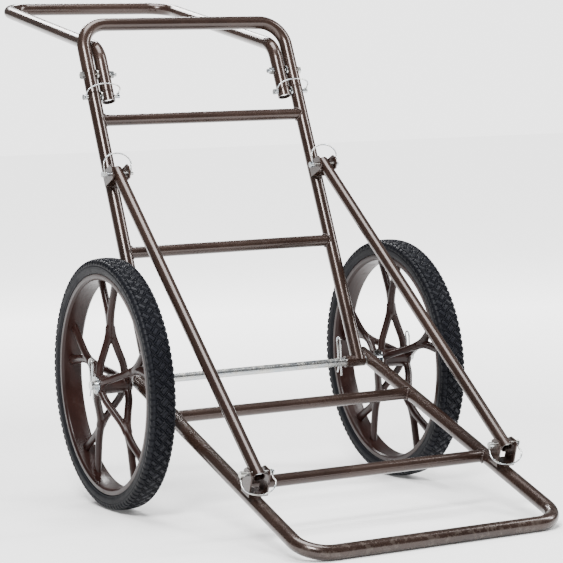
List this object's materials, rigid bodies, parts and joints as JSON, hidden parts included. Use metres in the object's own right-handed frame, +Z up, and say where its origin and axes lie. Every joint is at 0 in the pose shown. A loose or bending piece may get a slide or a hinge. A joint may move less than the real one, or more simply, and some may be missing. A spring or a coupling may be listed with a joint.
{
  "type": "game cart",
  "caption": "Folding two-wheeled game cart: tubular base and reclining back frame, bent push handle, side struts with wire lock pins, spoked wheels.",
  "frame": {"origin": "on the ground under the middle of the cart's overall length and width", "axes": "+X to the cart's right seen from the front bar, +Y backwards to the grip bar, +Z up"},
  "size_m": [0.676, 1.4165, 0.9518],
  "materials": {
    "brown_powder_coat": "glossy metallic brown powder coat",
    "wheel_plastic": "satin moulded dark brown plastic",
    "tyre_rubber": "matt black rubber with moulded tread",
    "bush_plastic": "satin black plastic",
    "zinc_steel": "bright zinc plate"
  },
  "bodies": {
    "base": {"base_frame_tube": "brown_powder_coat", "base_crossbar_rear": "brown_powder_coat", "base_crossbar_front": "brown_powder_coat", "clevis_lower_left": "brown_powder_coat", "clevis_lower_right": "brown_powder_coat", "axle_rod": "zinc_steel", "axle_washers": "zinc_steel"},
    "back": {"back_frame_tube": "brown_powder_coat", "back_crossbar_upper": "brown_powder_coat", "back_crossbar_lower": "brown_powder_coat", "axle_sleeve_left": "brown_powder_coat", "axle_sleeve_right": "brown_powder_coat", "clevis_upper_left": "brown_powder_coat", "clevis_upper_right": "brown_powder_coat", "handle_bolts": "zinc_steel", "handle_nuts": "zinc_steel", "handle_spacers": "zinc_steel", "lock_pin_handle_left": "zinc_steel", "lock_pin_handle_right": "zinc_steel"},
    "handle": {"handle_tube": "brown_powder_coat"},
    "strut_left": {"strut_left": "brown_powder_coat"},
    "wheel_left": {"wheel_left": "wheel_plastic", "tyre_left": "tyre_rubber", "hub_bushes_left": "bush_plastic"},
    "strut_right": {"strut_right": "brown_powder_coat"},
    "wheel_right": {"wheel_right": "wheel_plastic", "tyre_right": "tyre_rubber", "hub_bushes_right": "bush_plastic"},
    "hoop_upper_left": {"hoop_upper_left": "zinc_steel"},
    "lock_pin_upper_left": {"lock_pin_upper_left": "zinc_steel"},
    "hoop_lower_left": {"hoop_lower_left": "zinc_steel"},
    "lock_pin_lower_left": {"lock_pin_lower_left": "zinc_steel"},
    "hoop_handle_left": {"hoop_handle_left": "zinc_steel"},
    "cotter_outer_left": {"cotter_outer_left": "zinc_steel"},
    "cotter_inner_left": {"cotter_inner_left": "zinc_steel"},
    "hoop_upper_right": {"hoop_upper_right": "zinc_steel"},
    "lock_pin_upper_right": {"lock_pin_upper_right": "zinc_steel"},
    "hoop_lower_right": {"hoop_lower_right": "zinc_steel"},
    "lock_pin_lower_right": {"lock_pin_lower_right": "zinc_steel"},
    "hoop_handle_right": {"hoop_handle_right": "zinc_steel"},
    "cotter_outer_right": {"cotter_outer_right": "zinc_steel"},
    "cotter_inner_right": {"cotter_inner_right": "zinc_steel"}
  },
  "joints": [
    {"name": "back_recline", "type": "hinge", "parent": "base", "child": "back", "pos_m": [0, -0.0596, 0.2286], "axis": [1, 0, 0], "range_deg": [-50, 0]},
    {"name": "handle_fold", "type": "hinge", "parent": "back", "child": "handle", "pos_m": [0, 0.17503, 0.7895], "axis": [1, 0, 0], "range_deg": [-120, 0]},
    {"name": "strut_left_swing", "type": "hinge", "parent": "base", "child": "strut_left", "pos_m": [-0.242, -0.52514, 0.12232], "axis": [1, 0, 0], "range_deg": [-23, 0]},
    {"name": "wheel_left_spin", "type": "hinge", "parent": "base", "child": "wheel_left", "pos_m": [-0.2945, -0.0596, 0.2286], "axis": [1, 0, 0], "continuous": true},
    {"name": "strut_right_swing", "type": "hinge", "parent": "base", "child": "strut_right", "pos_m": [0.242, -0.52514, 0.12232], "axis": [1, 0, 0], "range_deg": [-23, 0]},
    {"name": "wheel_right_spin", "type": "hinge", "parent": "base", "child": "wheel_right", "pos_m": [0.2945, -0.0596, 0.2286], "axis": [1, 0, 0], "continuous": true},
    {"name": "pull_upper_left", "type": "slide", "parent": "back", "child": "lock_pin_upper_left", "axis": [-1, 0, 0], "range_m": [0, 0.046]},
    {"name": "hoop_upper_left_open", "type": "hinge", "parent": "lock_pin_upper_left", "child": "hoop_upper_left", "pos_m": [-0.2475, 0.054, 0.60383], "axis": [0, -0.9886, 0.1506], "range_deg": [-2, 192]},
    {"name": "pull_lower_left", "type": "slide", "parent": "base", "child": "lock_pin_lower_left", "axis": [-1, 0, 0], "range_m": [0, 0.046]},
    {"name": "hoop_lower_left_open", "type": "hinge", "parent": "lock_pin_lower_left", "child": "hoop_lower_left", "pos_m": [-0.2705, -0.52514, 0.12232], "axis": [0, 0.8363, -0.5483], "range_deg": [-2, 192]},
    {"name": "hoop_handle_left_open", "type": "hinge", "parent": "back", "child": "hoop_handle_left", "pos_m": [-0.2357, 0.15766, 0.74799], "axis": [0, -0.8622, -0.5065], "range_deg": [-2, 182]},
    {"name": "pull_cotter_outer_left", "type": "slide", "parent": "base", "child": "cotter_outer_left", "axis": [0, 0, 1], "range_m": [0, 0.06]},
    {"name": "pull_cotter_inner_left", "type": "slide", "parent": "base", "child": "cotter_inner_left", "axis": [0, 0, 1], "range_m": [0, 0.06]},
    {"name": "pull_upper_right", "type": "slide", "parent": "back", "child": "lock_pin_upper_right", "axis": [-1, 0, 0], "range_m": [0, 0.046]},
    {"name": "hoop_upper_right_open", "type": "hinge", "parent": "lock_pin_upper_right", "child": "hoop_upper_right", "pos_m": [0.1905, 0.054, 0.60383], "axis": [0, -0.9886, 0.1506], "range_deg": [-2, 192]},
    {"name": "pull_lower_right", "type": "slide", "parent": "base", "child": "lock_pin_lower_right", "axis": [-1, 0, 0], "range_m": [0, 0.046]},
    {"name": "hoop_lower_right_open", "type": "hinge", "parent": "lock_pin_lower_right", "child": "hoop_lower_right", "pos_m": [0.2135, -0.52514, 0.12232], "axis": [0, 0.8363, -0.5483], "range_deg": [-2, 192]},
    {"name": "hoop_handle_right_open", "type": "hinge", "parent": "back", "child": "hoop_handle_right", "pos_m": [0.1706, 0.15766, 0.74799], "axis": [0, -0.8622, -0.5065], "range_deg": [-2, 182]},
    {"name": "pull_cotter_outer_right", "type": "slide", "parent": "base", "child": "cotter_outer_right", "axis": [0, 0, 1], "range_m": [0, 0.06]},
    {"name": "pull_cotter_inner_right", "type": "slide", "parent": "base", "child": "cotter_inner_right", "axis": [0, 0, 1], "range_m": [0, 0.06]}
  ],
  "couplings": [
    {"joint": "strut_left_swing", "follows": "back_recline", "ratio": 0.4345},
    {"joint": "strut_right_swing", "follows": "back_recline", "ratio": 0.4345},
    {"joint": "hoop_upper_left_open", "follows": "pull_upper_left", "rad_per_m": 72},
    {"joint": "hoop_lower_left_open", "follows": "pull_lower_left", "rad_per_m": 72},
    {"joint": "hoop_handle_left_open", "follows": "handle_fold", "ratio": -1.5},
    {"joint": "hoop_upper_right_open", "follows": "pull_upper_right", "rad_per_m": 72},
    {"joint": "hoop_lower_right_open", "follows": "pull_lower_right", "rad_per_m": 72},
    {"joint": "hoop_handle_right_open", "follows": "handle_fold", "ratio": -1.5}
  ]
}
